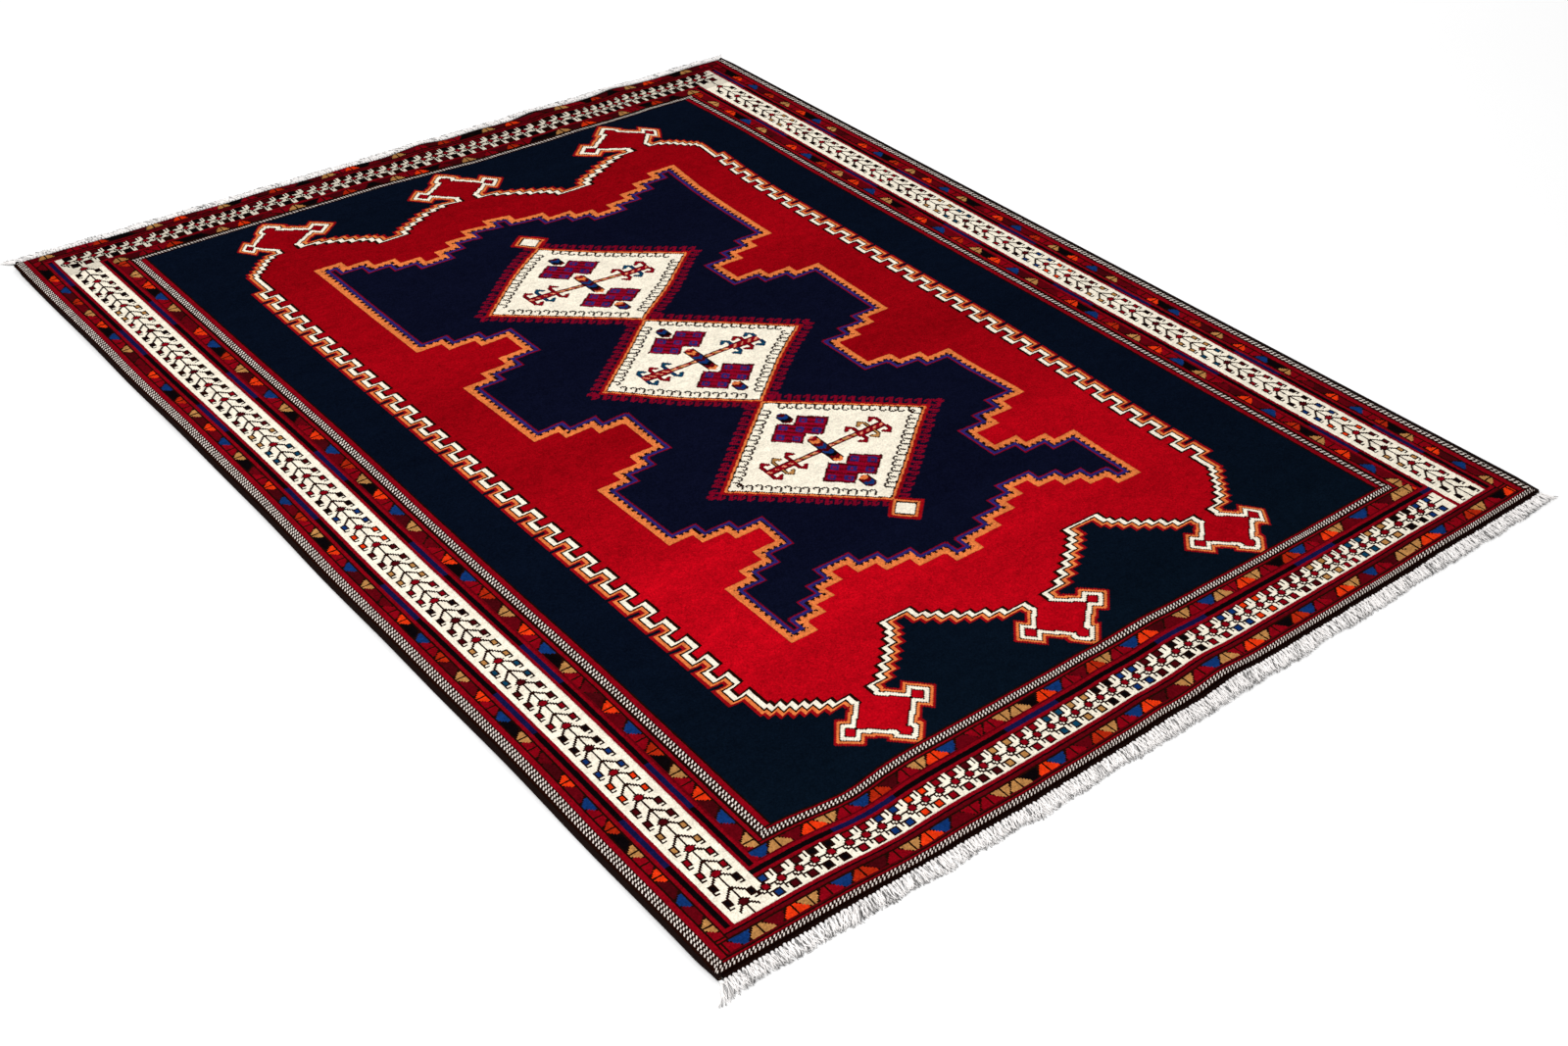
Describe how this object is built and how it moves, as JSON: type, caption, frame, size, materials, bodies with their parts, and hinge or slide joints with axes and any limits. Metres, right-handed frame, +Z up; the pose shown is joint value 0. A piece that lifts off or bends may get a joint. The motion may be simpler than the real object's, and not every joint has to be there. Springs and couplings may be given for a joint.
{
  "type": "area rug",
  "caption": "Rectangular hand-knotted wool rug with a stepped red medallion on navy, ivory main border, overcast sides and a short cotton fringe at each end.",
  "frame": {"origin": "centre of the underside's bounding box, on the floor", "axes": "+Z up, +Y along the rug's length (the warps) towards the back end, +X across it towards the right selvedge"},
  "size_m": [1.5, 2.03, 0.0103],
  "materials": {
    "ground_weave": "cotton warps and wefts, knot backs show the design underneath",
    "end_band": "flat-woven dark brown wool",
    "warp_cotton": "undyed white cotton, twisted and knotted",
    "selvedge_core": "bundled cotton warps",
    "selvedge_wool": "overcast dark brown wool",
    "pile_stripe": "cut wool pile, brown-black and ivory knots in a twisted-cord stripe",
    "pile_red_line": "cut wool pile, madder red",
    "pile_guard": "cut wool pile, dark red ground with orange, tan, blue and brown triangles",
    "pile_twin_lines": "cut wool pile, red and navy lines",
    "pile_ivory": "cut wool pile, undyed ivory ground with dark brown, red, blue and orange motifs",
    "pile_navy": "cut wool pile, indigo navy with slight streaks across the rug",
    "pile_outline": "cut wool pile, ivory, brown, orange and red outline",
    "pile_red": "cut wool pile, madder red with slight streaks across the rug",
    "pile_orange_outline": "cut wool pile, orange sawtooth with blue and red lines"
  },
  "bodies": {
    "root": {"ground_weave": "ground_weave", "end_band_front": "end_band", "end_band_back": "end_band", "warp_knots_front": "warp_cotton", "warp_knots_back": "warp_cotton", "fringe_front": "warp_cotton", "fringe_back": "warp_cotton", "selvedge_core_left": "selvedge_core", "selvedge_core_right": "selvedge_core", "selvedge_wrap_left": "selvedge_wool", "selvedge_wrap_right": "selvedge_wool", "pile_outer_stripe": "pile_stripe", "pile_outer_line": "pile_red_line", "pile_outer_guard": "pile_guard", "pile_outer_twin_lines": "pile_twin_lines", "pile_main_border": "pile_ivory", "pile_inner_twin_lines": "pile_twin_lines", "pile_inner_guard": "pile_guard", "pile_inner_line": "pile_red_line", "pile_inner_stripe": "pile_stripe", "pile_field_line": "pile_red_line", "pile_field": "pile_navy", "pile_medallion_outline": "pile_outline", "pile_medallion": "pile_red", "pile_inner_outline": "pile_orange_outline", "pile_inner_field": "pile_navy", "pile_end_square_front": "pile_ivory", "pile_diamond_front": "pile_ivory", "pile_diamond_middle": "pile_ivory", "pile_diamond_back": "pile_ivory", "pile_end_square_back": "pile_ivory"}
  },
  "joints": []
}
